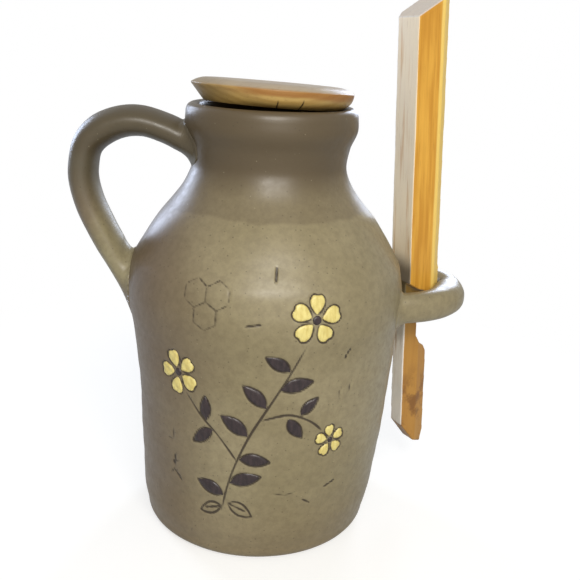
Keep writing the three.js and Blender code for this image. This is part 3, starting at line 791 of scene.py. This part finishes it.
# Oak: growth rings about 2.5 mm apart run long and slanted through the disc, with open pores
# as short dark dashes. Oil gives a satin sheen. The crown is painted pale grey, a painted
# reflection of the bright room above it, a brown band below it fades towards the left, and the
# pared left flank is painted darker olive, a painted shade.
disc = add_node(tree, "ShaderNodeMapping", {"vector_type": "TEXTURE"}, {
    "Vector": add_node(tree, "ShaderNodeTexCoord").outputs["Object"], "Location": (0, 0, lid_lift),
    "Rotation": lid_tilt.to_euler()})
xyz = add_node(tree, split, inputs={0: disc}).outputs
plank = add_node(tree, "ShaderNodeMapping", {"vector_type": "TEXTURE"}, {
    "Vector": disc, "Rotation": [math.radians(a) for a in (30, -12, 24)], "Scale": (7.0, 1.0, 1.0)})
waver = add_node(tree, noise, inputs={"Vector": plank, "Scale": 1 / (8 * mm), "Detail": 3.0})
rings = add_node(tree, "ShaderNodeTexWave", {"bands_direction": "Z"}, {
    "Vector": plank, "Scale": 0.314 / (2.5 * mm), "Distortion": 4.0, "Detail": 2.0, "Detail Scale": 1.2})
pores = add_node(tree, noise, inputs={
    "Vector": plank, "Scale": 1 / (0.45 * mm), "Detail": 4.0, "Roughness": 0.7})
tone = tinted(tree, colour("#c4a25e"), "#b09256", 1.0, (waver, 0.35, 0.68))
tone = tinted(tree, tone, "#9a7233", 0.34, (rings.outputs["Fac"], 0.2, 0.9))
# Painted reflection: the crown is painted pale grey.
tone = tinted(tree, tone, "#b3aa9d", 0.7, (xyz["Z"], -2.0 * mm, -1.2 * mm))
band = add_node(tree, maths, times_plus, {0: waver, 1: 2.4 * mm, 2: xyz["Z"]})
handled = add_node(tree, ranged, eased, {0: xyz["X"], 1: -17 * mm, 2: -3 * mm, 3: 0.15 * 0.65, 4: 0.65})
tone = tinted(tree, tone, "#94561a", handled, (band, -2.9 * mm, -1.7 * mm), (xyz["Z"], -1.2 * mm, -2.0 * mm))
# Painted shade: the left flank is painted darker olive.
tone = tinted(tree, tone, "#857350", 0.6, (xyz["X"], -9 * mm, -25 * mm))
tone = tinted(tree, tone, "#6c4a25", 0.45, (pores, 0.56, 0.74))
# Each crack has a bearing, a height where it ends, and a width.
for bearing, top, width in ((3.5, -4.2 * mm, 0.28 * mm), (21.0, -3.6 * mm, 0.32 * mm)):
    aside = add_node(tree, vectors, {"operation": "DOT_PRODUCT"}, {
        0: disc, 1: (math.cos(math.radians(bearing)), math.sin(math.radians(bearing)), 0)})
    aside = add_node(tree, maths, times_plus, {0: waver, 1: 1.2 * mm, 2: aside})
    aside = add_node(tree, maths, {"operation": "ABSOLUTE"}, {
        0: add_node(tree, maths, {"operation": "SUBTRACT"}, {0: aside, 1: 0.6 * mm})})
    tone = tinted(tree, tone, "#3a2816", 1.0, (xyz["Z"], top, top - 1.5 * mm),
                  (xyz["Y"], -18 * mm, -20 * mm), (aside, width, width * 0.4))
roughness = add_node(tree, ranged, inputs={0: pores, 1: 0.4, 2: 0.7, 3: 0.36, 4: 0.52})
end_material(tree, tone, roughness, refraction=1.48, strength=0.4, depth=0.08 * mm, relief=pores)
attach(lid, "lid")
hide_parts("lid")

# Spatula: a stick of beech, carved with a knife and oiled. The handle's front edge is bevelled,
# below its steps the thin blade goes through the loop, and a hook is cut into its far edge.
# The knife left long shallow facets, and the side towards the jar is painted pale, a painted sheen of the
# light it reflects at a glancing angle.

spatula_bearing, spatula_lean = math.radians(17.6), math.radians(-3.2)
seat_gap = 0.3 * mm
knife_depth = 0.12 * mm
# The stick's own frame: Z runs up along it from its steps, X across its front, Y to its back.
stick_place = Vector((
    (belly_radius + spatula_play) * math.cos(spatula_bearing) + spatula_thickness * math.sin(spatula_turn),
    (belly_radius + spatula_play) * math.sin(spatula_bearing) - spatula_thickness * math.cos(spatula_turn),
    loop_height + loop_tallness / 2 + seat_gap))
stick_frame = (Matrix.Translation(stick_place) @ Matrix.Rotation(spatula_lean, 4, "Y")
               @ Matrix.Rotation(spatula_turn, 4, "Z"))

spatula = bpy.data.objects.new("spatula_carved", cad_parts["spatula"].data.copy())
scene.collection.objects.link(spatula)
face_outwards(spatula.data, merge=0.005 * mm)
even = spatula.modifiers.new("even", "REMESH")
even.mode, even.voxel_size = "VOXEL", 0.38 * mm
softer = spatula.modifiers.new("softer", "SMOOTH")
softer.factor, softer.iterations = 0.5, 3
apply_modifiers(spatula)
spatula.data.shade_smooth()
skin, normals = read_points(spatula.data)
to_stick = np.array(stick_frame.inverted())
x, y, z = to_stick[:3, :3] @ skin.T + to_stick[:3, 3:]
facet = (np.sin(z / (5.3 * mm) + x / (2.1 * mm)) + np.sin(z / (3.1 * mm) - y / (1.7 * mm))) / 2
skin -= normals * (0.5 + 0.5 * facet)[:, None] * knife_depth
write_points(spatula.data, skin)

# Beech: fine streaks 2 mm apart along the stick and short flecks half a millimetre wide. The
# oil made the front golden. The bevelled edge is painted a lighter yellow, a painted highlight
# where it faces the light, and the sawn end is painted pale grey, a painted reflection. The blade
# is browner and is stained where it stood in honey.
beech, tree = new_material("oiled_beech")
stick = add_node(tree, "ShaderNodeMapping", {"vector_type": "TEXTURE"}, {
    "Vector": add_node(tree, "ShaderNodeTexCoord").outputs["Object"], "Location": stick_place,
    "Rotation": stick_frame.to_euler()})
drawn = add_node(tree, "ShaderNodeMapping", inputs={"Vector": stick, "Scale": (1.0, 1.0, 0.06)})
xyz = add_node(tree, split, inputs={0: stick}).outputs
streaks = add_node(tree, noise, inputs={"Vector": drawn, "Scale": 1 / (2.0 * mm), "Detail": 3.0})
fibres = add_node(tree, noise, inputs={
    "Vector": drawn, "Scale": 1 / (0.5 * mm), "Detail": 4.0, "Roughness": 0.7})
stains = add_node(tree, noise, inputs={
    "Vector": stick, "Scale": 1 / (7 * mm), "Detail": 4.0, "Roughness": 0.65})
tone = tinted(tree, colour("#e6ae46"), "#cc902f", 1.0, (streaks, 0.32, 0.68))
tone = tinted(tree, tone, "#a97a3c", 0.72, (xyz["Z"], -2 * mm, -22 * mm))
tone = tinted(tree, tone, "#744820", 0.75, (xyz["Z"], -30 * mm, -48 * mm), (stains, 0.44, 0.62))
side = add_node(tree, maths, times_plus, {0: streaks, 1: 1.0 * mm, 2: xyz["X"]})
sheen_and_shade_side = (side, 0.95 * mm, 0.6 * mm)
# Painted sheen: the side towards the jar is painted pale, as it looks where it reflects the light.
pale = tinted(tree, colour("#fff4dc"), "#fffdf9", 1.0, (xyz["Z"], 4 * mm, -14 * mm))
tone = tinted(tree, tone, pale, 0.9, sheen_and_shade_side)
# Painted shadow: near the steps the side towards the jar is darkened, and so is the blade just below the
# steps, inside the loop's hole.
off_steps = add_node(tree, maths, {"operation": "ABSOLUTE"}, {0: xyz["Z"]})
tone = tinted(tree, tone, "#4d3f2e", 0.81, (off_steps, 10 * mm, 2 * mm), sheen_and_shade_side)
tone = tinted(tree, tone, "#5c4f2c", 0.85, (xyz["Z"], -1.0 * mm, -1.8 * mm), (xyz["Z"], -9 * mm, -6 * mm),
              (xyz["Y"], 1.7 * mm, 2.2 * mm))
# The bevelled edge, painted lighter yellow as a painted highlight, and the top, which is sawn at a slant and
# painted pale grey as a painted reflection.
tone = tinted(tree, tone, "#fbdc7a", 0.8, (xyz["X"], 8.9 * mm, 9.7 * mm), (xyz["Y"], 3.4 * mm, 2.6 * mm))
sawn = add_node(tree, maths, times_plus, {0: xyz["X"], 1: -0.55, 2: xyz["Z"]})
tone = tinted(tree, tone, "#dedad4", 0.85, (sawn, 86.9 * mm, 87.3 * mm))
tone = tinted(tree, tone, "#9a6a2c", 0.34, (fibres, 0.55, 0.76))
roughness = add_node(tree, ranged, inputs={0: fibres, 1: 0.4, 2: 0.7, 3: 0.38, 4: 0.54})
end_material(tree, tone, roughness, refraction=1.48, strength=0.4, depth=0.06 * mm, relief=fibres)
spatula.data.materials.clear()
spatula.data.materials.append(beech)
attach(spatula, "spatula")
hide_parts("spatula")
